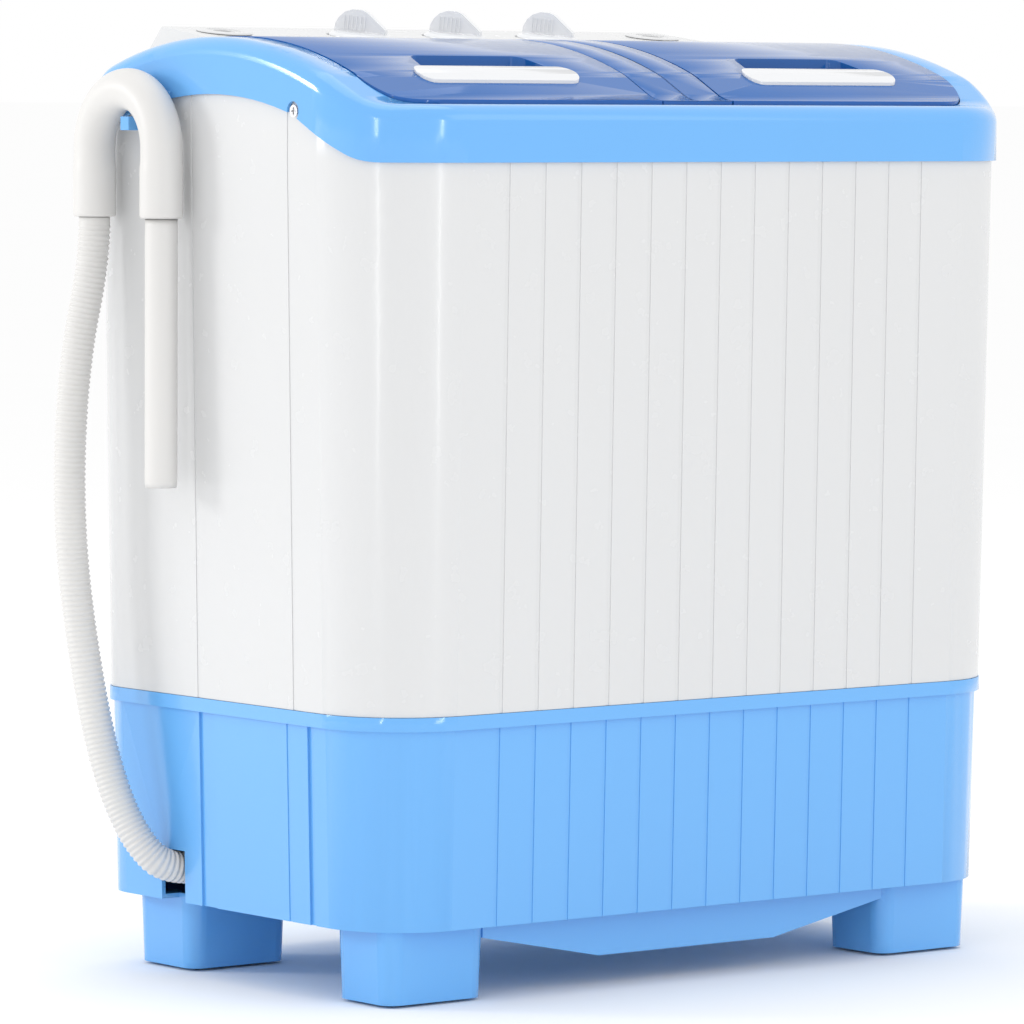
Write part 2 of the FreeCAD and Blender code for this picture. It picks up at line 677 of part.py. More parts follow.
def make_lid(side):
    sheet_part = common(lid_slab(-D["lid_sheet"].number, 0), lid_outline(side, 0))
    front_edge = common(top_slab(0.3 - D["lid_seat"].number, 0.2), lid_outline(side, 0.3),
                        block((-HALF_SPAN, HALF_SPAN), (-200, D["lid_front"] + 2.8), (500, 700)))
    cup_low, cup_high = -16.0, -13.5
    cup = common(lid_slab(cup_low, -1), cup_block(side, 2.5))
    cup_space = common(lid_slab(cup_high, 6), cup_block(side, 0))
    starts = (-263.5, -52) if side < 0 else (34, 245.5)
    knuckles = [fuse(rod((start, D["hinge_y"], D["hinge_z"]), 3.2, 18, "x"),
                     block((start, start + 18), (D["hinge_y"] - 2.4, D["hinge_y"] + 2.4),
                           (D["hinge_z"], D["hinge_z"] + 4.5))) for start in starts]
    bores = [rod((start - 1, D["hinge_y"], D["hinge_z"]), 1.55, 20, "x") for start in starts]
    return cut(fuse(sheet_part, front_edge, cup, *knuckles), cup_space, *bores)


def make_lid_handle(side):
    low, high = sided(BAR_X, side)
    middle_y, end_r = (BAR_Y[0] + BAR_Y[1]) / 2, (BAR_Y[1] - BAR_Y[0]) / 2
    plan = fuse(block((low + end_r, high - end_r), BAR_Y, (560, 700)),
                rod((low + end_r, middle_y, 560), end_r, 140),
                rod((high - end_r, middle_y, 560), end_r, 140))
    return common(lid_slab(0, 2.2), plan)


# ---------------------------------------------------------------- controls

def make_knob(side):
    x, y = D["knob_spacing"] * side, D["knob_y"]
    knob = turned((0, 0, 0), ((0, -1.3), (22.8, -1.3), (22.8, 0.4), (21.0, 2.2), (17.0, 3.4), (0, 3.4)))
    half_grip = 19.0
    grip = plate("XZ_Plane", ((-half_grip, 1.6), (half_grip, 1.6), (half_grip - 0.6, 6.0), (4.0, 17.6),
                              (0.5, 19.0), (-6.5, 19.0), (-12.0, 16.8), (-16.2, 12.6), (-18.4, 8.0)),
                 (0, 3.6, 0), 7.2)
    ribs = [block((offset - 0.5, offset + 0.5), (-4.3, 4.3), (4.5, 14.5)) for offset in range(-12, 6, 3)]
    bore = rod((0, 0, -2), 3.05, 14)
    whole = cut(fuse(knob, grip, *ribs), bore)
    base = Vector(x.number, y.number, panel_face(y))
    turn = FreeCAD.Rotation(Vector(1, 0, 0), TILT) * FreeCAD.Rotation(AXES["z"], -50)
    return place(whole, (x, base.y, base.z), turn)


def make_timer_shaft(side, down):
    x, y = D["knob_spacing"] * side, D["knob_y"]
    return tilted_rod(x, y, -down, 3.0, down + 9.0)


def make_timer(side, size_x, size_y, depth):
    x, y = D["knob_spacing"] * side, D["knob_y"].number
    face = panel_face(y) - 8
    case = block((x - size_x / 2, x + size_x / 2), (y - size_y / 2, y + size_y / 2),
                 (face - depth, face - 2))
    ears = block((x - size_x / 2 - 8, x + size_x / 2 + 8), (y - 7, y + 7), (face - 4, face - 2))
    neck = tilted_rod(x, y, -12, 5.5, 8.6)
    return cut(fuse(case, ears, neck), tilted_rod(x, y, -24.5, 3.06, 40))


def make_inlet_caps():
    caps = []
    for side in (-1, 1):
        cap = turned((0, 0, 0), ((8, 0.3), (20, 0.3), (20, 0.9), (18.5, 1.6), (12, 1.6), (12, 1.1), (8, 1.1)))
        spout = turned((0, 0, 0), ((8, 1.1), (8, -18), (10.5, -18), (10.5, 0.6), (13.5, 0.6), (13.5, 1.1)))
        whole = fuse(cap, spout)
        caps.append(place(whole, (195 * side, 138, panel_face(138)), FreeCAD.Rotation(Vector(1, 0, 0), TILT)))
    return group(*caps)


def make_lid_switch():
    case = block((196, 222), (96, 108), (619, 642))
    ears = block((190, 228), (98, 106), (642, 644.8))
    lever = block((199, 219), (92.5, 93.5), (616, 638))
    pin = block((206, 210), (93.4, 96.4), (626, 630))
    return fuse(case, ears, lever, pin)


# ---------------------------------------------------------------- tubs

VALVE = (D["valve_x"], D["valve_y"])
WASH_DRAIN = (-75.0, 25.0)
SPIN_DRAIN = (95.0, 25.0)
OVERFLOW = (-32.5, -20.0)
DUCT_Y = (-80.0, -10.0)


def make_twin_tub():
    top, skin = D["tub_top"], D["tub_sheet"]
    flange = common(upright(inset(*BODY_HIGH, 4.2), top - skin, top),
                    block((-HALF_SPAN, HALF_SPAN), (-200, 75), (500, 700)))
    wash = wash_well(skin, D["tub_floor"] - skin, top)
    dish = rod((D["wash_x"], D["wash_y"], D["tub_floor"] - 11), 88, 11)
    spin = spin_well(skin, D["spin_floor"] - skin, top)
    wall_x = D["wash_x"] + D["wash_half_x"]
    low_y, high_y = DUCT_Y
    duct = block((wall_x + 1, wall_x + 30), DUCT_Y, (300, 576))
    duct_space = block((wall_x - 3, wall_x + 27.5), (low_y + 3, high_y - 3), (303, 573))
    bearing = rod((D["spin_x"], D["spin_y"], D["spin_floor"] - 9), 38, 9)
    overflow_wall = block((wall_x - 4, wall_x + 4), (low_y + 3, high_y - 3), (303, 420))
    hollow = fuse(wash_well(0, D["tub_floor"], top + 1),
                  rod((D["wash_x"], D["wash_y"], D["tub_floor"] - 8), 85, 9),
                  spin_well(0, D["spin_floor"], top + 1), cut(duct_space, overflow_wall))
    shaft_holes = [rod((D["wash_x"], D["wash_y"], 250), 13, 60), rod((D["spin_x"], D["spin_y"], 240), 30, 60)]
    drains = [rod((*WASH_DRAIN, 260), 11.6, 40), rod((*SPIN_DRAIN, 240), 10, 40), rod((*OVERFLOW, 290), 7, 20)]
    return cut(fuse(flange, wash, dish, spin, duct, bearing), hollow, *shaft_holes, *drains)


def make_overflow_grille():
    wall_x = D["wash_x"] + D["wash_half_x"]
    low_y, high_y = DUCT_Y
    slots = [block((wall_x - 5, wall_x + 5), (low_y + 5, high_y - 5), (z, z + 4)) for z in range(424, 570, 9)]
    return cut(block((wall_x - 3.2, wall_x - 0.3), (low_y - 3, high_y + 3), (412, 578)), *slots)


def make_lint_filter():
    wall_y = D["wash_y"] + D["wash_half_y"]
    frame = block((-205, -95), (wall_y - 3, wall_y - 0.3), (430, 555))
    bag = block((-198, -102), (wall_y - 14, wall_y - 3), (436, 549))
    space = block((-196.5, -103.5), (wall_y - 12.5, wall_y), (437.5, 547.5))
    slots = [block((x, x + 3), (wall_y - 15, wall_y - 12), (445, 540)) for x in range(-191, -108, 8)]
    return cut(fuse(frame, bag), space, *slots)


# ---------------------------------------------------------------- drain

def aimed_rod(start, target, radius, length):
    """A rod from one point towards another, both at the same height."""
    turn = Vector(*(as_dim(b).number - as_dim(a).number for a, b in zip(start, target)))
    return rod(start, radius, length, turn=turn)


def make_valve_body():
    chamber = turned((*VALVE, 0), (
        (9, 215), (D["valve_radius"], 215), (D["valve_radius"], 280), (18, 280), (18, 246), (11, 246),
        (11, 240), (18, 240), (18, 219), (9, 219)))
    spout = ring((*VALVE, 195), 11, 9, 20.5)
    wash_leg = rod((*WASH_DRAIN, 240), 13.6, 38.7)
    wash_bore = rod((*WASH_DRAIN, 244), 11.6, 40)
    spin_leg = rod((*SPIN_DRAIN, 217), 13, 41.7)
    spin_bore = rod((*SPIN_DRAIN, 220), 10, 45)
    wash_pipe = aimed_rod((*WASH_DRAIN, 258), (*VALVE, 258), 12.5, 104.5)
    wash_way = aimed_rod((*WASH_DRAIN, 258), (*VALVE, 258), 10.0, 110)
    spin_pipe = aimed_rod((*SPIN_DRAIN, 230), (*VALVE, 230), 10, 117.5)
    spin_way = aimed_rod((*SPIN_DRAIN, 230), (*VALVE, 230), 8, 123)
    over_leg = rod((*OVERFLOW, 221), 9, 78.7)
    over_bore = rod((*OVERFLOW, 223), 7, 90)
    over_pipe = aimed_rod((*OVERFLOW, 230), (*VALVE, 230), 9, 128)
    over_way = aimed_rod((*OVERFLOW, 230), (*VALVE, 230), 7, 135)
    return cut(fuse(chamber, spout, wash_leg, spin_leg, over_leg, wash_pipe, spin_pipe, over_pipe),
               wash_bore, spin_bore, over_bore, wash_way, spin_way, over_way)


def make_valve_cap():
    return turned((*VALVE, 0), ((4.2, 280.3), (24, 280.3), (24, 285), (12, 285), (12, 290), (4.2, 290)))


def make_plunger():
    return turned((*VALVE, 0), ((0, 243), (9, 243), (9, 246.3), (16, 246.3), (16, 252), (10, 255),
                                (4, 256), (4, 300), (0, 300)))


def make_pull_strap():
    x, y = VALVE
    return fuse(block((x - 6, x + 6), (y - 4, y + 4), (300.2, 310)),
                block((x - 5, x + 5), (y - 1, y + 1), (309, 606)))


def make_valve_spring():
    wire, radius = 0.8, 8.0
    helix = Part.makeHelix(4.6, 21.0, radius)
    circle = Part.Wire([Part.Circle(Vector(radius, 0, 0), AXES["y"], wire).toShape()])
    item = doc.addObject("Part::Feature", "valve_spring")
    item.Shape = Part.Wire(helix.Edges).makePipeShell([circle], True, True)
    return place(item, (*VALVE, 258))


def cord_path(points):
    """Straight runs joined by the largest tangent arcs that the runs allow."""
    radii = []
    for before, corner, after in zip(points[:-2], points[1:-1], points[2:]):
        turn = (corner - before).getAngle(after - corner)
        shorter = min(corner.distanceToPoint(before), corner.distanceToPoint(after))
        radii.append(0.45 * shorter / math.tan(turn / 2))
    return rounded_path(points, radii), radii


def tube_along(name, route, diameter):
    points = [Vector(*point) for point in route]
    edges, radii = cord_path(points)
    path = Part.Wire(edges)
    first = (points[1] - points[0]).normalize()
    circle = Part.Wire([Part.Circle(points[0], first, diameter / 2).toShape()])
    item = doc.addObject("Part::Feature", name)
    item.Shape = path.makePipeShell([circle], True, True)
    section = math.pi * diameter ** 2 / 4
    print(name, "length", round(path.Length, 1), "volume share", round(item.Shape.Volume / section / path.Length, 4),
          "radii", [round(radius / diameter, 1) for radius in radii])
    return item


INNER_ROUTE = ((0, 124.4, 195), (0, 124.4, 125), (-45, 143, 92), (-140, 148, 84), (-205, 128, 77),
               (-222, 78, 74), (-255.7, 78, 74))
HOSE_ROUTE = ((-256, 78, 74), (-285, 78, 74), (-300, 88, 90), (-309.5, 103, 120), (-315, 119, 166),
              (-319.5, 132, 228), (-323.5, 140, 292), (-325.5, 140, 358), (-321.5, 137.5, 430),
              (-311.2, 129.5, 497), (-311.2, 129.5, 525))


def make_inner_pipe():
    return tube_along("inner_pipe", INNER_ROUTE, 20.0)


def make_drain_hose():
    return tube_along("drain_hose", HOSE_ROUTE, D["hose_diameter"].number)


def make_elbow():
    """An inverted U of tube with a flared socket at the foot of each leg."""
    x, front, rear, turn_z = D["elbow_x"], D["elbow_front"], D["elbow_rear"], D["elbow_turn_z"]
    radius, low, flare, socket = D["elbow_diameter"] / 2, 525.3, 0.4, 36.5
    bow = doc.addObject("Part::Torus", "bow")
    bow.setExpression("Radius1", ((rear - front) / 2).text)
    bow.setExpression("Radius2", radius.text)
    bow.Angle3 = 180
    upright_plane = FreeCAD.Rotation(Vector(0, 1, 0), AXES["z"], AXES["x"], "ZXY")
    place(bow, (x, (front + rear) / 2, turn_z), upright_plane)
    legs = []
    for y in (front, rear):
        legs.append(rod((x, y, low), radius, turn_z - low))
        legs.append(rod((x, y, low), radius + flare, socket))
        legs.append(taper((x, y, low + socket), radius + flare, radius, 2))
    return fuse(bow, *legs)


def make_hose_tail():
    low = 341.5
    return rod((D["elbow_x"], D["elbow_front"], low), D["tail_diameter"] / 2, 525 - low)


def make_hose_hook():
    """A bracket on the side of the machine whose arm lies under the arch of the elbow."""
    band_x = -D["total_width"] / 2 - 0.3
    wall_x = band_x + BODY_HIGH[0]
    face_x = band_x - 1.0
    tip_x = D["elbow_x"] - 3
    middle = (D["elbow_front"] + D["elbow_rear"]) / 2
    ledge = block((face_x, band_x), (middle - 28.5, middle + 28.5), (603, 612))
    backing = block((face_x, band_x), (middle - 13, middle + 13), (585, 604))
    foot = block((face_x, wall_x), (middle - 13, middle + 13), (585, 597))
    arm = block((tip_x, wall_x), (middle - 5, middle + 5), (585, 594.6))
    return fuse(ledge, backing, foot, arm)


# ---------------------------------------------------------------- wash drive

WASH = (D["wash_x"], D["wash_y"])
WASH_MOTOR = (D["motor_x"], D["motor_y"])
SPIN = (D["spin_x"], D["spin_y"])
GROOVE_DEPTH, GROOVE_FLARE, GROOVE_FLAT, PULLEY_HALF = 4.5, 5.5, 2.0, 8.0


def pulley_rim(radius):
    """Corners of a belt groove, from the low outer corner to the high one."""
    middle = D["pulley_z"]
    return ((radius + 2, middle - PULLEY_HALF), (radius + 2, middle - GROOVE_FLARE),
            (radius + 2 - GROOVE_DEPTH, middle - GROOVE_FLAT), (radius + 2 - GROOVE_DEPTH, middle + GROOVE_FLAT),
            (radius + 2, middle + GROOVE_FLARE), (radius + 2, middle + PULLEY_HALF))


def make_motor(centre, radius, top, shaft_radius):
    """A motor with a laminated stator between two end bells and a bore for its rotor shaft."""
    bore = shaft_radius + 0.06
    body = turned((*centre, 0), (
        (bore, 92), (radius - 14, 92), (radius - 7, 99), (radius - 7, 112), (radius, 112), (radius, 150),
        (radius - 7, 150), (radius - 7, top - 12), (radius - 16, top), (bore, top)))
    bolts = [rod((x, y, 104), 3.5, 54) for x, y, angle in circle_points(4, radius - 4, centre, 0)]
    return fuse(body, *bolts)


def make_wash_motor():
    ears = [rod((x, y, 85.3), 8, 10) for x, y, angle in
            circle_points(4, D["wash_motor_radius"] + 1, WASH_MOTOR, 45)]
    webs = [spin_copy(block((20, 50), (-6, 6), (92.5, 97)), WASH_MOTOR, angle) for angle in (45, 135, 225, 315)]
    return fuse(make_motor(WASH_MOTOR, D["wash_motor_radius"], 182, 7.0), *ears, *webs)


def make_wash_rotor_shaft():
    return rod((*WASH_MOTOR, 86), 7.0, 132)


def make_motor_pulley():
    low, high = D["pulley_z"] - PULLEY_HALF, D["pulley_z"] + PULLEY_HALF
    return turned((*WASH_MOTOR, 0), ((7.05, low), *pulley_rim(D["small_pulley"]), (7.05, high)))


def make_pulsator_pulley():
    rim_in = D["big_pulley"] - 8
    low, high = D["pulley_z"] - PULLEY_HALF, D["pulley_z"] + PULLEY_HALF
    web_low, web_high = D["pulley_z"] - 2, D["pulley_z"] + 2
    wheel = turned((*WASH, 0), ((8.05, low), (16, low), (16, web_low), (rim_in, web_low), (rim_in, low),
                                *pulley_rim(D["big_pulley"]), (rim_in, high), (rim_in, web_high),
                                (16, web_high), (16, high), (8.05, high)))
    windows = [rod((x, y, 180), 11, 50) for x, y, angle in circle_points(6, 35, WASH)]
    return cut(wheel, *windows)


def make_belt():
    """A flat loop round both pulleys, riding part-way down their grooves."""
    big, small = Vector(*(d.number for d in WASH), 0), Vector(*(d.number for d in WASH_MOTOR), 0)
    span = small - big
    heading = math.atan2(span.y, span.x)

    def loop(ride):
        first, second = D["big_pulley"].number + ride, D["small_pulley"].number + ride
        lean = math.acos((first - second) / span.Length)

        def rim(centre, radius, angle):
            return centre + Vector(math.cos(angle), math.sin(angle), 0) * radius

        up, down = heading + lean, heading - lean
        edges = [Part.LineSegment(rim(big, first, up), rim(small, second, up)).toShape(),
                 Part.Arc(rim(small, second, up), rim(small, second, heading), rim(small, second, down)).toShape(),
                 Part.LineSegment(rim(small, second, down), rim(big, first, down)).toShape(),
                 Part.Arc(rim(big, first, down), rim(big, first, heading + math.pi), rim(big, first, up)).toShape()]
        return Part.Face(Part.Wire(edges)).extrude(Vector(0, 0, 7))

    item = doc.addObject("Part::Feature", "belt")
    item.Shape = loop(4.2).cut(loop(0.2))
    return place(item, (0, 0, D["pulley_z"] - 3.5))


def make_reducer():
    case = turned((*WASH, 0), ((8.06, 214), (30, 214), (34, 220), (45, 224), (45, 258), (52, 262),
                               (70, 262), (70, 270.7), (8.06, 270.7)))
    ribs = [spin_copy(block((40, 66), (-2, 2), (226, 263)), WASH, 60 * index) for index in range(6)]
    bolts = [rod((x, y, 257), 5, 6) for x, y, angle in circle_points(6, 62, WASH, 30)]
    return fuse(case, *ribs, *bolts)


def make_tub_seal():
    return turned((*WASH, 0), ((8.06, 271), (12.9, 271), (12.9, 274.3), (15, 274.3), (15, 276), (8.06, 276)))


def make_pulsator_shaft():
    return cut(rod((*WASH, 194), 8.0, 89.5), rod((*WASH, 262), 4.5, 30))


def make_pulsator():
    dish = turned((*WASH, 0), ((8.05, 277), (78, 277.5), (82, 282), (78, 285), (60, 286), (35, 291),
                               (16, 299), (8.2, 300), (8.2, 296), (4.5, 296), (4.5, 284), (8.05, 284)))
    vanes = []
    for index in range(4):
        vane = plate("XZ_Plane", ((13, 284), (77, 281), (74, 292), (60, 300), (40, 305), (22, 304), (13, 299)),
                     (0, 4.5, 0), 9)
        vanes.append(spin_copy(vane, WASH, 90 * index + 20))
    holes = [rod((x, y, 270), 2.5, 25) for radius in (52, 66)
             for x, y, angle in circle_points(12, radius, WASH, 8)]
    return cut(fuse(dish, *vanes), *holes, rod((*WASH, 296), 8.2, 30), rod((*WASH, 270), 4.5, 30))


def make_pulsator_screw():
    head = cut(rod((*WASH, 296.1), 7.8, 3.6), block((WASH[0] - 6, WASH[0] + 6), (WASH[1] - 0.7, WASH[1] + 0.7),
                                                    (298.4, 302)))
    return fuse(head, rod((*WASH, 268), 4.4, 28.5))


# ---------------------------------------------------------------- spin drive

BRAKE_PIVOT = (230.0, -22.0)


def make_spin_motor():
    ears = [rod((x, y, 88), 12, 6) for x, y, angle in circle_points(3, 62, SPIN, 90)]
    webs = [spin_copy(block((30, 58), (-9, 9), (92.5, 96)), SPIN, angle) for angle in (90, 210, 330)]
    bracket = block((190, BRAKE_PIVOT[0] + 7), (BRAKE_PIVOT[1] - 8, BRAKE_PIVOT[1] + 8), (157, 163))
    pivot = fuse(rod((*BRAKE_PIVOT, 162), 7, 30), rod((*BRAKE_PIVOT, 190), 4, 18))
    return cut(fuse(make_motor(SPIN, D["spin_motor_radius"], 178, 7.0), *ears, *webs, bracket, pivot),
               rod((*SPIN, 80), 7.06, 110))


def make_motor_mounts():
    boots = []
    for x, y, angle in circle_points(3, 62, SPIN, 90):
        folds = [(8.5 if index % 2 else 11.0, 62.0 + 3.0 * index) for index in range(9)]
        boots.append(turned((x, y, 0), ((0, 58.3), (11, 58.3), *folds, (0, 87.7))))
    return group(*boots)


def make_spin_rotor_shaft():
    return rod((*SPIN, 86), 7.0, 216)


def make_brake_drum():
    radius = D["drum_radius"]
    return turned((*SPIN, 0), ((7.05, 186), (14, 186), (14, 192), (radius - 5, 192), (radius - 5, 188),
                               (radius, 188), (radius, 212), (radius - 5, 212), (radius - 5, 197),
                               (14, 197), (14, 212), (7.05, 212)))


def make_brake_lever():
    arm = plate("XY_Plane", ((220, -30), (238, -30), (238, 38), (226, 44), (224, 10), (208, 8), (198, 2),
                             (206, -14)), (0, 0, 196), 6)
    hub = rod((*BRAKE_PIVOT, 192.4), 9, 13)
    return cut(fuse(arm, hub), rod((*BRAKE_PIVOT, 180), 4.06, 40), rod((*SPIN, 180), D["drum_radius"] + 9.2, 40))


def make_brake_shoe():
    pad = cut(rod((*SPIN, 192), D["drum_radius"] + 9, 14), rod((*SPIN, 180), D["drum_radius"] + 3, 40))
    return common(pad, block((190, 214), (-22, 4), (180, 220)))


CABLE_ROUTE = ((231, 46, 199), (232, 64, 206), (233, 90, 240), (233, 108, 310), (231, 114, 400),
               (228, 116, 480), (221, 112, 550), (214, 104, 612))


def make_brake_cable():
    return tube_along("brake_cable", CABLE_ROUTE, 3.5)


def make_spin_basket():
    radius, low, high = D["basket_radius"], D["basket_bottom"], D["basket_top"]
    bowl = turned((*SPIN, 0), ((7.05, low - 8), (16, low - 8), (16, low), (radius - 4, low), (radius, low + 4),
                               (radius, high), (radius - 2, high), (radius - 2, low + 5.2),
                               (radius - 5.2, low + 2.2), (22, low + 2.2), (16, low + 24), (7.05, low + 24)))
    holes = []
    for row in range(6):
        for index in range(8):
            angle = 22.5 * index + 11.25 * (row % 2)
            drill = block((-120, 120), (-2.4, 2.4), (low + 34 + 40 * row, low + 46 + 40 * row))
            holes.append(spin_copy(drill, SPIN, angle))
    return cut(bowl, *holes)


def make_balance_ring():
    low = D["basket_top"] + 0.3
    return turned((*SPIN, 0), ((80, low + 3), (83, low), (94, low), (96, low + 3), (96, low + 14), (93, low + 18),
                               (84, low + 18), (80, low + 14)))


def make_spin_bellows():
    return turned((*SPIN, 0), (
        (7.06, 238), (12, 238), (13, 242), (19, 243), (16, 247), (23, 248.5), (20, 252.5), (29.8, 254),
        (29.8, 262.3), (34, 262.3), (34, 264.8), (26, 264.8), (26, 257.5), (16.5, 255.5), (19, 251),
        (13, 249.5), (15.5, 245), (9.5, 244.5), (9.5, 248), (7.06, 248)))


def make_capacitors():
    floor = D["skirt_bottom"] + D["floor_wall"] + 0.2
    return group(*(fuse(rod((x, 140, floor), 17, 58), block((x - 5, x + 5), (110, 130), (floor, floor + 3)),
                        block((x - 8, x - 5), (138, 142), (floor + 55, floor + 66)),
                        block((x + 5, x + 8), (138, 142), (floor + 55, floor + 66))) for x in (75, 120)))


# ---------------------------------------------------------------- build

PIECES = {
    "base": make_base,
    "foot_pads": make_foot_pads,
    "cabinet": make_cabinet,
    "back_cover": make_back_cover,
    "back_cover_screws": make_back_screws,
    "cord_gland": make_cord_gland,
    "top_frame": make_top_frame,
    "frame_screws": make_frame_screws,
    "top_cover": make_top_cover,
    "lid_bridge": make_lid_bridge,
    "lid_hinge_pins": make_hinge_pins,
    "wash_lid": lambda: make_lid(-1),
    "wash_lid_handle": lambda: make_lid_handle(-1),
    "spin_lid": lambda: make_lid(1),
    "spin_lid_handle": lambda: make_lid_handle(1),
    "wash_timer_knob": lambda: make_knob(-1),
    "selector_knob": lambda: make_knob(0),
    "spin_timer_knob": lambda: make_knob(1),
    "inlet_caps": make_inlet_caps,
    "twin_tub": make_twin_tub,
    "lint_filter": make_lint_filter,
    "overflow_grille": make_overflow_grille,
    "drain_valve_body": make_valve_body,
    "drain_valve_cap": make_valve_cap,
    "drain_plunger": make_plunger,
    "drain_pull_strap": make_pull_strap,
    "drain_valve_spring": make_valve_spring,
    "inner_drain_pipe": make_inner_pipe,
    "drain_hose": make_drain_hose,
    "hose_elbow": make_elbow,
    "hose_tail": make_hose_tail,
    "hose_hook": make_hose_hook,
    "wash_motor": make_wash_motor,
    "wash_rotor_shaft": make_wash_rotor_shaft,
    "motor_pulley": make_motor_pulley,
    "drive_belt": make_belt,
    "reducer_case": make_reducer,
    "wash_tub_seal": make_tub_seal,
    "pulsator_shaft": make_pulsator_shaft,
    "pulsator_pulley": make_pulsator_pulley,
    "pulsator": make_pulsator,
    "pulsator_screw": make_pulsator_screw,
    "spin_motor": make_spin_motor,
    "spin_motor_mounts": make_motor_mounts,
    "spin_rotor_shaft": make_spin_rotor_shaft,
    "brake_drum": make_brake_drum,
    "brake_lever": make_brake_lever,
    "brake_shoe": make_brake_shoe,
    "brake_cable": make_brake_cable,
    "spin_basket": make_spin_basket,
    "balance_ring": make_balance_ring,
    "spin_bellows": make_spin_bellows,
    "capacitors": make_capacitors,
    "lid_switch": make_lid_switch,
    "wash_timer": lambda: make_timer(-1, 48, 40, 26),
    "selector_switch": lambda: make_timer(0, 36, 34, 22),
    "spin_timer": lambda: make_timer(1, 48, 40, 26),
    "wash_timer_shaft": lambda: make_timer_shaft(-1, 24),
    "selector_shaft": lambda: make_timer_shaft(0, 24),
    "spin_timer_shaft": lambda: make_timer_shaft(1, 24),
}
for name, maker in PIECES.items():
    node(name, maker())
doc.recompute()

failed = [item.Label for item in doc.Objects if "Invalid" in item.State or "Error" in item.State]
failed += [name for name, item in nodes.items() if item.Shape.isNull() or not item.Shape.isValid()]
if failed:
    raise SystemExit(f"failed: {failed}")
for name, item in nodes.items():
    box = item.Shape.BoundBox
    print(f"{name:22s} solids {len(item.Shape.Solids)} volume {item.Shape.Volume / 1000:9.1f} "
          f"x {box.XMin:.1f} {box.XMax:.1f} y {box.YMin:.1f} {box.YMax:.1f} z {box.ZMin:.1f} {box.ZMax:.1f}")
    item.Shape.exportStep(f"parts/{name}.step")
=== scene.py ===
import bmesh
import bpy
import math
from mathutils import Matrix, Vector


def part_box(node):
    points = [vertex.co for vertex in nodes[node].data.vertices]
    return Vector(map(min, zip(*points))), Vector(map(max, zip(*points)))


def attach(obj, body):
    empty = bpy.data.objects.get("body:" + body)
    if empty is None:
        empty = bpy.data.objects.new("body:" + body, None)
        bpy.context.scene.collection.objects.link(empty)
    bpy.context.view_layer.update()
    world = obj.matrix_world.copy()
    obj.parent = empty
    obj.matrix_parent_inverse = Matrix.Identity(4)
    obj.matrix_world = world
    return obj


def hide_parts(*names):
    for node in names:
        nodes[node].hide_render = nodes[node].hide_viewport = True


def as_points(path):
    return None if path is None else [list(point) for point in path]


# Twin-tub washing machine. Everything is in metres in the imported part's own frame:
# +X to the right seen from the front, +Y to the back, +Z up, the floor at z = 0.

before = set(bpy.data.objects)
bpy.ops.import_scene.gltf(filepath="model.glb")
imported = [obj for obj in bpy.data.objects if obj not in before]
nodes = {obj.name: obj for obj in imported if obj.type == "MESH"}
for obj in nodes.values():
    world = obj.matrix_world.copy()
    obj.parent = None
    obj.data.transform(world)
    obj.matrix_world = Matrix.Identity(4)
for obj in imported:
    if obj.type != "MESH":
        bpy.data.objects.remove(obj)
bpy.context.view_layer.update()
MM = 0.001


# ---------------------------------------------------------------- materials

class Shader:
    """A small helper that builds a node tree around one Principled shader."""

    def __init__(self, name):
        self.material = bpy.data.materials.new(name)
        self.material.use_nodes = True
        self.tree = self.material.node_tree
        self.main = self.tree.nodes["Principled BSDF"]
        self.place = self.add("ShaderNodeTexCoord").outputs["Object"]

    def add(self, kind, **values):
        made = self.tree.nodes.new(kind)
        for key, value in values.items():
            setattr(made, key, value)
        return made

    def join(self, output, target):
        self.tree.links.new(output, target)

    def noise(self, scale, detail=3.0, stretch=(1, 1, 1), rough=0.5):
        mapping = self.add("ShaderNodeMapping")
        mapping.inputs["Scale"].default_value = stretch
        self.join(self.place, mapping.inputs["Vector"])
        cloud = self.add("ShaderNodeTexNoise")
        cloud.inputs["Scale"].default_value = scale
        cloud.inputs["Detail"].default_value = detail
        cloud.inputs["Roughness"].default_value = rough
        self.join(mapping.outputs["Vector"], cloud.inputs["Vector"])
        return cloud.outputs["Fac"]

    def spread(self, source, low, high):
        """Maps a noise around one half to a range of values."""
        ranged = self.add("ShaderNodeMapRange")
        ranged.inputs["From Min"].default_value = 0.15
        ranged.inputs["From Max"].default_value = 0.85
        ranged.inputs["To Min"].default_value = low
        ranged.inputs["To Max"].default_value = high
        self.join(source, ranged.inputs["Value"])
        return ranged.outputs["Result"]

    def blend(self, factor, first, second):
        mix = self.add("ShaderNodeMix", data_type="RGBA")
        for socket, value in (("A", first), ("B", second)):
            place = next(i for i in mix.inputs if i.name == socket and i.type == "RGBA")
            if hasattr(value, "is_linked"):
                self.join(value, place)
            else:
                place.default_value = (*value, 1)
        self.join(factor, next(i for i in mix.inputs if i.name == "Factor" and i.type == "VALUE"))
        return next(o for o in mix.outputs if o.type == "RGBA")

    def bump(self, *layers):
        """Stacks bump layers, each (height source, strength, distance in metres)."""
        last = None
        for source, strength, distance in layers:
            step = self.add("ShaderNodeBump")
            step.inputs["Strength"].default_value = strength
            step.inputs["Distance"].default_value = distance
            self.join(source, step.inputs["Height"])
            if last:
                self.join(last, step.inputs["Normal"])
            last = step.outputs["Normal"]
        self.join(last, self.main.inputs["Normal"])


def shade(colour, amount):
    return tuple(max(0.0, min(1.0, channel * amount)) for channel in colour)


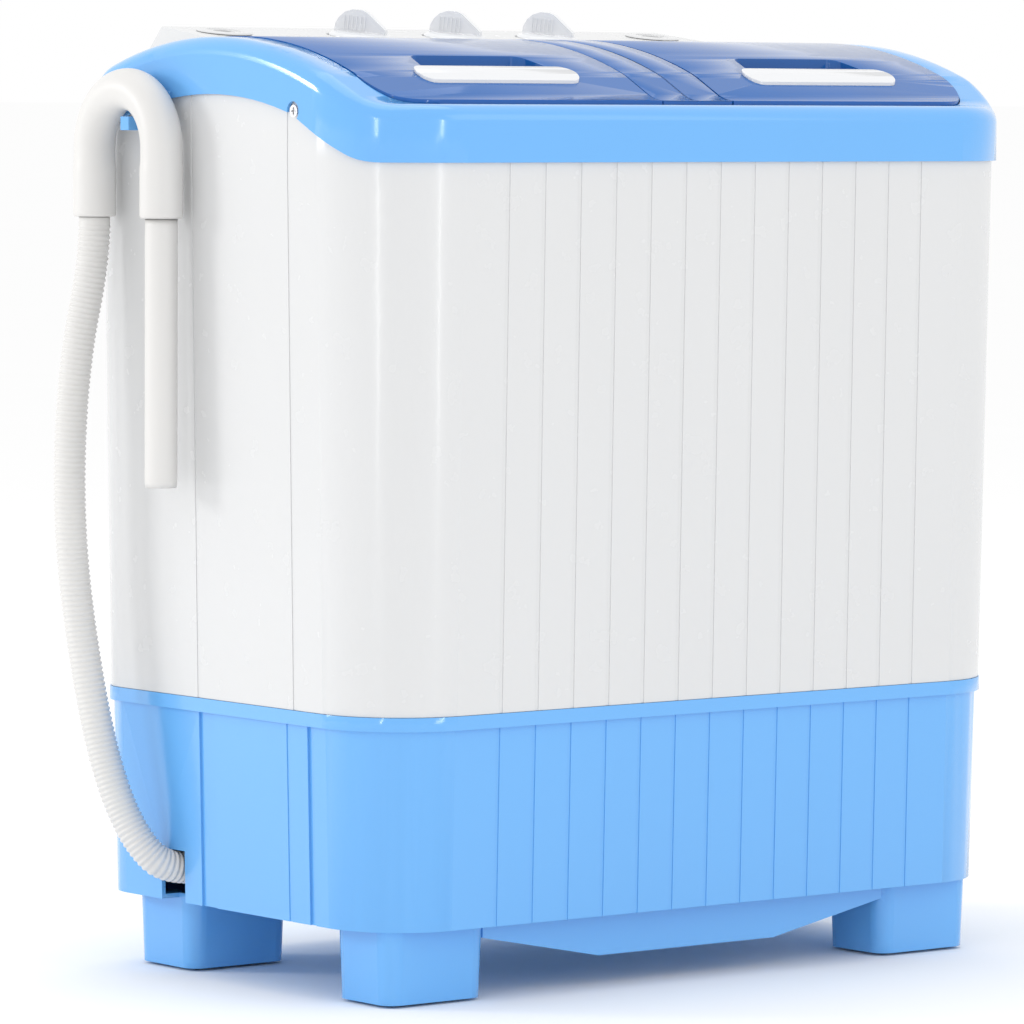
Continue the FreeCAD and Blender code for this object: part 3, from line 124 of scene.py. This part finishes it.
def worn_edges(shader, colour, edge_colour, low=0.52, high=0.60):
    """Lightens the sharp outer edges, where hands and cloths polish them."""
    point = shader.add("ShaderNodeNewGeometry").outputs["Pointiness"]
    ramp = shader.add("ShaderNodeMapRange")
    ramp.inputs["From Min"].default_value = low
    ramp.inputs["From Max"].default_value = high
    shader.join(point, ramp.inputs["Value"])
    return shader.blend(ramp.outputs["Result"], colour, edge_colour)


def plastic(name, colour, roughness, coat, mottle=0.012, texture=0.03):
    """Moulded plastic: faint flow marks, a slightly wavy skin and uneven gloss."""
    shader = Shader(name)
    main = shader.main
    flow = shader.noise(9.0, 4.0, (1, 1, 0.35))
    cloud = shader.noise(55.0, 3.0)
    tinted = shader.blend(shader.spread(flow, 0, 1), shade(colour, 1 - mottle), shade(colour, 1 + mottle))
    shader.join(tinted, main.inputs["Base Color"])
    shader.join(shader.spread(cloud, roughness * 0.88, roughness * 1.12), main.inputs["Roughness"])
    main.inputs["Coat Weight"].default_value = coat
    main.inputs["Coat Roughness"].default_value = 0.12
    shader.bump((shader.noise(70.0, 1.0), texture, 0.0001))
    return shader.material


def metal(name, colour, roughness):
    """Machined or brushed metal: fine directional lines and patchy tarnish."""
    shader = Shader(name)
    main = shader.main
    main.inputs["Metallic"].default_value = 1.0
    lines = shader.noise(220.0, 5.0, (1, 1, 30), 0.6)
    patches = shader.noise(28.0, 4.0)
    tinted = shader.blend(shader.spread(patches, 0, 1), shade(colour, 0.8), shade(colour, 1.08))
    shader.join(worn_edges(shader, tinted, shade(colour, 1.25)), main.inputs["Base Color"])
    shader.join(shader.spread(lines, roughness * 0.7, roughness * 1.35), main.inputs["Roughness"])
    shader.bump((lines, 0.25, 0.00005))
    return shader.material


def cast_metal(name, colour):
    """Sand-cast aluminium: coarse dull skin."""
    shader = Shader(name)
    main = shader.main
    main.inputs["Metallic"].default_value = 0.9
    pits = shader.noise(900.0, 6.0, rough=0.7)
    patches = shader.noise(40.0, 3.0)
    tinted = shader.blend(shader.spread(patches, 0, 1), shade(colour, 0.75), shade(colour, 1.1))
    shader.join(worn_edges(shader, tinted, shade(colour, 1.3)), main.inputs["Base Color"])
    shader.join(shader.spread(pits, 0.38, 0.62), main.inputs["Roughness"])
    shader.bump((pits, 0.6, 0.0003))
    return shader.material


def painted(name, colour):
    """Baked paint over pressed steel, chipped along the edges."""
    shader = Shader(name)
    main = shader.main
    peel = shader.noise(320.0, 2.0)
    patches = shader.noise(30.0, 4.0)
    tinted = shader.blend(shader.spread(patches, 0, 1), shade(colour, 0.85), shade(colour, 1.15))
    shader.join(worn_edges(shader, tinted, (0.42, 0.42, 0.43), 0.56, 0.66), main.inputs["Base Color"])
    shader.join(shader.spread(patches, 0.3, 0.5), main.inputs["Roughness"])
    shader.bump((peel, 0.3, 0.0002))
    return shader.material


def rubber(name, colour=(0.025, 0.025, 0.026)):
    """Dull moulded rubber with a dusty bloom."""
    shader = Shader(name)
    main = shader.main
    dust = shader.noise(65.0, 5.0, rough=0.65)
    shader.join(shader.blend(shader.spread(dust, 0, 0.5), colour, shade(colour, 3.2)), main.inputs["Base Color"])
    shader.join(shader.spread(dust, 0.62, 0.86), main.inputs["Roughness"])
    main.inputs["Specular IOR Level"].default_value = 0.35
    shader.bump((shader.noise(1500.0, 3.0), 0.35, 0.00008))
    return shader.material


def tinted_lid(name, colour):
    """Deep glossy tinted plastic with faint polish swirls."""
    shader = Shader(name)
    main = shader.main
    depth = shader.noise(7.0, 2.0)
    swirl = shader.noise(130.0, 6.0, (1, 0.2, 1), 0.7)
    shader.join(shader.blend(shader.spread(depth, 0, 1), shade(colour, 0.88), shade(colour, 1.12)),
                main.inputs["Base Color"])
    shader.join(shader.spread(swirl, 0.07, 0.13), main.inputs["Roughness"])
    main.inputs["Coat Weight"].default_value = 0.2
    main.inputs["Coat Roughness"].default_value = 0.05
    main.inputs["IOR"].default_value = 1.4
    shader.bump((shader.noise(90.0, 2.0), 0.05, 0.0002))
    return shader.material


WHITE = (0.675, 0.68, 0.685)
BLUE = (0.135, 0.42, 0.84)
MATERIALS = {
    "white": plastic("white_plastic", WHITE, 0.26, 0.25),
    "blue": plastic("blue_plastic", BLUE, 0.15, 0.5),
    "bar": plastic("bar_plastic", (0.76, 0.77, 0.79), 0.22, 0.5),
    "lid": tinted_lid("lid_plastic", (0.008, 0.12, 0.42)),
    "hose": plastic("hose_plastic", (0.70, 0.69, 0.675), 0.42, 0.0, mottle=0.04, texture=0.3),
    "tub": plastic("tub_plastic", (0.80, 0.83, 0.85), 0.36, 0.1, mottle=0.04),
    "filter": plastic("filter_plastic", (0.50, 0.68, 0.84), 0.38, 0.1),
    "black": plastic("black_plastic", (0.02, 0.02, 0.022), 0.4, 0.1, texture=0.4),
    "rubber": rubber("dark_rubber"),
    "lining": rubber("brake_lining", (0.11, 0.07, 0.05)),
    "steel": metal("bright_steel", (0.58, 0.58, 0.60), 0.26),
    "cast": cast_metal("cast_aluminium", (0.62, 0.63, 0.65)),
    "motor": painted("motor_paint", (0.10, 0.11, 0.12)),
}
FINISHES = {
    "white": ("cabinet", "back_cover", "top_cover", "inlet_caps", "drain_valve_body",
              "drain_valve_cap", "drain_pull_strap", "capacitors", "wash_timer", "selector_switch",
              "spin_timer", "wash_timer_shaft", "selector_shaft", "spin_timer_shaft"),
    "blue": ("base", "top_frame", "hose_hook"),
    "bar": ("wash_lid_handle", "spin_lid_handle", "wash_timer_knob", "selector_knob", "spin_timer_knob"),
    "lid": ("wash_lid", "spin_lid", "lid_bridge"),
    "hose": ("drain_hose", "hose_elbow", "hose_tail"),
    "tub": ("twin_tub", "spin_basket", "balance_ring"),
    "filter": ("lint_filter", "overflow_grille", "pulsator"),
    "black": ("cord_gland", "lid_switch"),
    "rubber": ("foot_pads", "drain_plunger", "inner_drain_pipe", "drive_belt", "wash_tub_seal",
               "spin_motor_mounts", "spin_bellows"),
    "lining": ("brake_shoe",),
    "steel": ("back_cover_screws", "frame_screws", "lid_hinge_pins", "drain_valve_spring",
              "wash_rotor_shaft", "pulsator_shaft", "pulsator_screw", "spin_rotor_shaft", "brake_drum",
              "brake_lever", "brake_cable"),
    "cast": ("motor_pulley", "reducer_case", "pulsator_pulley"),
    "motor": ("wash_motor", "spin_motor"),
}


# Edges that turn by more than this many degrees are rounded, on the pieces seen from outside.
SHARP_ANGLE = 34.0
# The width of that rounding in millimetres.
SOFT_EDGES = {"cabinet": 0.5, "base": 1.2, "top_frame": 0.6, "top_cover": 0.8, "wash_lid": 0.5, "spin_lid": 0.5,
              "lid_bridge": 0.5, "wash_lid_handle": 0.8, "spin_lid_handle": 0.8, "wash_timer_knob": 0.6,
              "selector_knob": 0.6, "spin_timer_knob": 0.6, "inlet_caps": 0.3, "hose_hook": 0.6,
              "back_cover": 0.4}


def dress(piece, material):
    """Gives a piece one material in all its slots."""
    slots = piece.data.materials
    slots.clear()
    slots.append(MATERIALS[material])


def soften(piece, width):
    """Rounds the sharp edges of a CAD node's own mesh with modifiers."""
    weld = piece.modifiers.new("weld", "WELD")
    weld.merge_threshold = 0.01 * MM
    bevel = piece.modifiers.new("round", "BEVEL")
    bevel.width = width
    bevel.segments = 2
    bevel.limit_method = "ANGLE"
    bevel.angle_limit = math.radians(SHARP_ANGLE)
    bevel.miter_outer = "MITER_ARC"
    bevel.harden_normals = True


for finish, names in FINISHES.items():
    for name in names:
        dress(nodes[name], finish)
for name, width in SOFT_EDGES.items():
    soften(nodes[name], width * MM)


# ---------------------------------------------------------------- mesh helpers

def new_piece(name, mesh, material, body, replaced):
    """A smooth piece on a body, in place of the CAD nodes named."""
    piece = bpy.data.objects.new(name, mesh)
    bpy.context.scene.collection.objects.link(piece)
    mesh.shade_smooth()
    dress(piece, material)
    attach(piece, body)
    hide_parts(*replaced)
    return piece


def mesh_from(name, verts, faces):
    mesh = bpy.data.meshes.new(name)
    mesh.from_pydata([tuple(v) for v in verts], [], faces)
    mesh.update()
    bm = bmesh.new()
    bm.from_mesh(mesh)
    bmesh.ops.recalc_face_normals(bm, faces=bm.faces)
    bm.to_mesh(mesh)
    bm.free()
    return mesh


def smooth_line(points):
    """The NURBS line of order 3 that has these control points."""
    curve = bpy.data.curves.new("route", "CURVE")
    curve.dimensions = "3D"
    curve.resolution_u = 24
    spline = curve.splines.new("NURBS")
    spline.points.add(len(points) - 1)
    for knot, point in zip(spline.points, points):
        knot.co = (*(value * MM for value in point), 1)
    spline.order_u = 3
    spline.use_endpoint_u = True
    holder = bpy.data.objects.new("route", curve)
    bpy.context.scene.collection.objects.link(holder)
    bpy.context.view_layer.update()
    graph = bpy.context.evaluated_depsgraph_get()
    mesh = bpy.data.meshes.new_from_object(holder.evaluated_get(graph))
    line = [vertex.co.copy() for vertex in mesh.vertices]
    bpy.data.objects.remove(holder)
    return line


def evenly(line, step):
    """Points along a line at an even spacing, ends included."""
    lengths = [0.0]
    for first, second in zip(line, line[1:]):
        lengths.append(lengths[-1] + (second - first).length)
    count = max(2, round(lengths[-1] / step))
    found, place_id = [], 0
    for index in range(count + 1):
        wanted = lengths[-1] * index / count
        while place_id < len(line) - 2 and lengths[place_id + 1] < wanted:
            place_id += 1
        share = (wanted - lengths[place_id]) / max(lengths[place_id + 1] - lengths[place_id], 1e-9)
        found.append(line[place_id].lerp(line[place_id + 1], share))
    return found


def sections(line):
    """A frame (point, side, up) at each point of a line, carried along without twist."""
    side = None
    for index, point in enumerate(line):
        ahead = (line[min(index + 1, len(line) - 1)] - line[max(index - 1, 0)]).normalized()
        if side is None:
            side = ahead.orthogonal().normalized()
        side = (side - ahead * side.dot(ahead)).normalized()
        yield point, side, ahead.cross(side)


def circles(line, radii, sides):
    """A ring of points round each point of the line."""
    angles = [math.tau * k / sides for k in range(sides)]
    return [[point + (side * math.cos(a) + up * math.sin(a)) * radius for a in angles]
            for (point, side, up), radius in zip(sections(line), radii)]


def tube(name, line, radii, sides, wall=None):
    """A tube through the points with a radius at each; wall makes it hollow, else it is capped."""
    rings = circles(line, radii, sides)
    if wall:
        rings += circles(line, [radius - wall for radius in radii], sides)[::-1]
    verts = [v for ring in rings for v in ring]
    faces = []
    for row in range(len(rings) - 1):
        for k in range(sides):
            n = (k + 1) % sides
            faces.append((row * sides + k, row * sides + n, (row + 1) * sides + n, (row + 1) * sides + k))
    last = (len(rings) - 1) * sides
    if wall:
        for k in range(sides):
            n = (k + 1) % sides
            faces.append((last + k, last + n, n, k))
    else:
        faces.append(tuple(range(sides)))
        faces.append(tuple(range(last, last + sides)))
    return mesh_from(name, verts, faces)


# ---------------------------------------------------------------- camera, light and floor

CAMERA_PLACE = (-2.790, -3.4693, 0.6092)
CAMERA_LENS, SENSOR = 221.48, 36


def make_camera():
    """The viewpoint in front and to the left, at the height of the lids, slightly rolled."""
    heading, dip, roll = math.radians(38.36), math.radians(3.77), math.radians(0.29)
    level = Vector((math.sin(heading), math.cos(heading), 0))
    ahead = level * math.cos(dip) - Vector((0, 0, math.sin(dip)))
    right = Vector((math.cos(heading), -math.sin(heading), 0))
    up = right.cross(ahead)
    tilted_right = right * math.cos(roll) + up * math.sin(roll)
    tilted_up = up * math.cos(roll) - right * math.sin(roll)
    turn = Matrix((tilted_right, tilted_up, -ahead)).transposed()
    data = bpy.data.cameras.new("camera")
    data.lens = CAMERA_LENS
    data.sensor_width = SENSOR
    data.clip_end = 1000
    camera = bpy.data.objects.new("camera", data)
    camera.matrix_world = Matrix.Translation(CAMERA_PLACE) @ turn.to_4x4()
    bpy.context.scene.collection.objects.link(camera)
    bpy.context.scene.camera = camera


def area_light(name, place, aim, size, power):
    data = bpy.data.lights.new(name, "AREA")
    data.shape = "RECTANGLE"
    data.size, data.size_y = size
    data.energy = power
    light = bpy.data.objects.new(name, data)
    light.location = place
    light.rotation_euler = (Vector(aim) - Vector(place)).to_track_quat("-Z", "Y").to_euler()
    bpy.context.scene.collection.objects.link(light)


CORNER = Vector((-0.22, -0.10, 0.62))
FLOOR_HALF = 400.0
STRIP_DISTANCE, STRIP_HEIGHT, STRIP_POWER = 3.2, 0.75, 6


def strip_light(name, azimuth):
    """A tall narrow light far away, seen as a thin bright line in the rounded front corner."""
    heading = math.radians(azimuth)
    place = Vector((CORNER.x + STRIP_DISTANCE * math.cos(heading),
                    CORNER.y + STRIP_DISTANCE * math.sin(heading), STRIP_HEIGHT))
    area_light(name, place, CORNER, (0.09, 1.3), STRIP_POWER)


def make_studio():
    strip_light("left_strip", -151.8)
    strip_light("front_strip", -83.4)
    area_light("key", (1.8, -3.2, 2.4), (0, 0, 0.35), (2.0, 2.0), 9)
    area_light("side", (-2.6, 2.2, 1.3), (0, 0, 0.4), (0.7, 0.7), 26)
    area_light("top", (0.0, 0.4, 3.0), (0, 0, 0.4), (2.4, 1.6), 11)
    world = bpy.data.worlds.new("studio")
    world.use_nodes = True
    sky = world.node_tree.nodes["Background"]
    sky.inputs["Color"].default_value = (1.0, 1.0, 1.0, 1)
    sky.inputs["Strength"].default_value = 1.0
    bpy.context.scene.world = world
    bpy.context.scene.view_settings.view_transform = "Standard"
    mesh = mesh_from("floor", [(-FLOOR_HALF, -FLOOR_HALF, 0), (FLOOR_HALF, -FLOOR_HALF, 0),
                               (FLOOR_HALF, FLOOR_HALF, 0), (-FLOOR_HALF, FLOOR_HALF, 0)],
                     [(0, 1, 2, 3)])
    floor = bpy.data.objects.new("floor", mesh)
    bpy.context.scene.collection.objects.link(floor)
    shader = Shader("floor_paint")
    shader.join(shader.blend(shader.noise(3.0, 3.0), (0.975, 0.975, 0.975), (0.985, 0.985, 0.985)),
                shader.main.inputs["Base Color"])
    shader.main.inputs["Roughness"].default_value = 0.9
    shader.main.inputs["Specular IOR Level"].default_value = 0.0
    floor.data.materials.append(shader.material)


make_camera()
make_studio()


# ---------------------------------------------------------------- drain hose

HOSE_ROUTE = ((-256, 78, 74), (-285, 78, 74), (-300, 88, 90), (-309.5, 103, 120), (-315, 119, 166),
              (-319.5, 132, 228), (-323.5, 140, 292), (-325.5, 140, 358), (-321.5, 137.5, 430),
              (-311.2, 129.5, 497), (-311.2, 129.5, 525))
HOSE_DIAMETER = 22.5 * MM
CUFF = 5.6 * MM
ARCH_REACH = 40.05 * MM
ARCH_RADIUS, SOCKET_RADIUS, LIP_RADIUS = 14.45 * MM, 14.95 * MM, 14.3 * MM
# Heights above the sockets' mouths where the lip, the socket and its taper to the arch end.
LIP_END, SOCKET_END, TAPER_END = 1.0 * MM, 33 * MM, 39 * MM
TAPER = 0.075
LEG_STEPS, ARCH_STEPS, TAIL_STEPS = 24, 40, 40


def make_hose():
    """Corrugated hose: even rings, with a plain cuff where it enters the elbow."""
    pitch, depth, per_ring = 3.6 * MM, 1.0 * MM, 6
    route = smooth_line(HOSE_ROUTE)
    line = evenly(route, pitch / per_ring)
    step = (line[1] - line[0]).length
    whole = step * (len(line) - 1)
    radii = []
    for index in range(len(line)):
        along = index * step
        wave = 0.5 - 0.5 * math.cos(math.tau * along / pitch)
        radius = HOSE_DIAMETER / 2 - depth * wave ** 1.4
        if whole - along < CUFF:
            radius = HOSE_DIAMETER / 2 - depth * 0.4
        radii.append(radius)
    mesh = tube("corrugated_hose", line, radii, sides=36)
    hose = new_piece("corrugated_hose", mesh, "hose", "machine", ("drain_hose",))
    return hose, line, whole


hose, hose_line, hose_length = make_hose()


def make_elbow():
    """The smooth moulded elbow with two slightly wider sockets."""
    low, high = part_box("hose_elbow")
    x = (low.x + high.x) / 2
    middle_y = (low.y + high.y) / 2
    turn_z = high.z - ARCH_REACH - 14.5 * MM
    line = [Vector((x, middle_y + ARCH_REACH, low.z + (turn_z - low.z) * k / LEG_STEPS))
            for k in range(LEG_STEPS)]
    line += [Vector((x, middle_y + ARCH_REACH * math.cos(math.pi * k / ARCH_STEPS),
                     turn_z + ARCH_REACH * math.sin(math.pi * k / ARCH_STEPS))) for k in range(ARCH_STEPS + 1)]
    line += [Vector((x, middle_y - ARCH_REACH, turn_z - (turn_z - low.z) * (k + 1) / LEG_STEPS))
             for k in range(LEG_STEPS)]

    def radius(point):
        above = point.z - low.z
        if above < LIP_END:
            return LIP_RADIUS
        if above < SOCKET_END:
            return SOCKET_RADIUS
        if above < TAPER_END:
            return SOCKET_RADIUS - TAPER * (above - SOCKET_END)
        return ARCH_RADIUS

    return tube("elbow", line, [radius(point) for point in line], sides=48, wall=2.0 * MM)


elbow = new_piece("elbow", make_elbow(), "hose", "machine", ("hose_elbow",))


def make_tail():
    """The plain discharge end that hangs from the elbow's front socket."""
    low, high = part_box("hose_tail")
    x, y = (low.x + high.x) / 2, (low.y + high.y) / 2
    line = [Vector((x, y, high.z + (low.z - high.z) * k / TAIL_STEPS)) for k in range(TAIL_STEPS + 1)]
    radii = [11.2 * MM] * TAIL_STEPS + [10.7 * MM]
    return tube("tail", line, radii, sides=40, wall=1.6 * MM), line


tail_mesh, tail_line = make_tail()
tail = new_piece("discharge_tail", tail_mesh, "hose", "machine", ("hose_tail",))
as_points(hose_line)
